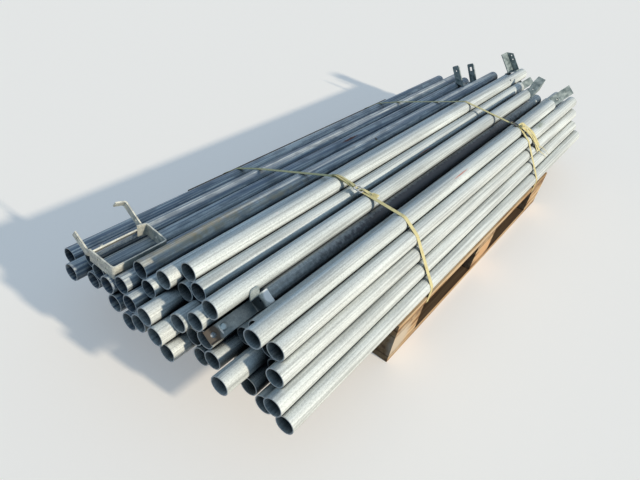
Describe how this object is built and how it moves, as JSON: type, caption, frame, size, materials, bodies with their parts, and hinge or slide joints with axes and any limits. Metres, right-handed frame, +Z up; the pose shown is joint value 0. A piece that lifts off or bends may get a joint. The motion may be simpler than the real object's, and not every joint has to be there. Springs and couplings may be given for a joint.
{
  "type": "strapped stack of steel tubes",
  "caption": "Long straight galvanised steel tubes stacked in a low heap and strapped to a wooden pallet, with a few folded steel brackets lying on top.",
  "frame": {"origin": "on the floor under the middle of the pallet", "axes": "+X along the tubes, away from the mouths seen first; +Z up; +Y to the left of the heap seen from its near mouths"},
  "size_m": [2.184, 0.8024, 0.4023],
  "materials": {
    "tube_steel": "galvanised, satin, streaked",
    "pallet_wood": "worn sawn softwood",
    "strap_weave": "pale woven polyester",
    "buckle_wire": "dull zinc wire",
    "bracket_steel": "galvanised, grey"
  },
  "bodies": {
    "root": {"tubes_row_1": "tube_steel", "tubes_row_2": "tube_steel", "tubes_row_3": "tube_steel", "tubes_row_4": "tube_steel", "tubes_row_5": "tube_steel", "pallet_runners": "pallet_wood", "pallet_blocks": "pallet_wood", "pallet_cross_boards": "pallet_wood", "pallet_deck_boards": "pallet_wood", "strap_near": "strap_weave", "strap_far": "strap_weave", "buckle_near": "buckle_wire", "buckle_far": "buckle_wire", "bracket_front": "bracket_steel", "bracket_far_right": "bracket_steel", "bracket_far_middle": "bracket_steel", "upright_left": "bracket_steel", "upright_middle": "bracket_steel", "channel_bracket": "bracket_steel", "loose_frame_bracket": "bracket_steel"}
  },
  "joints": []
}
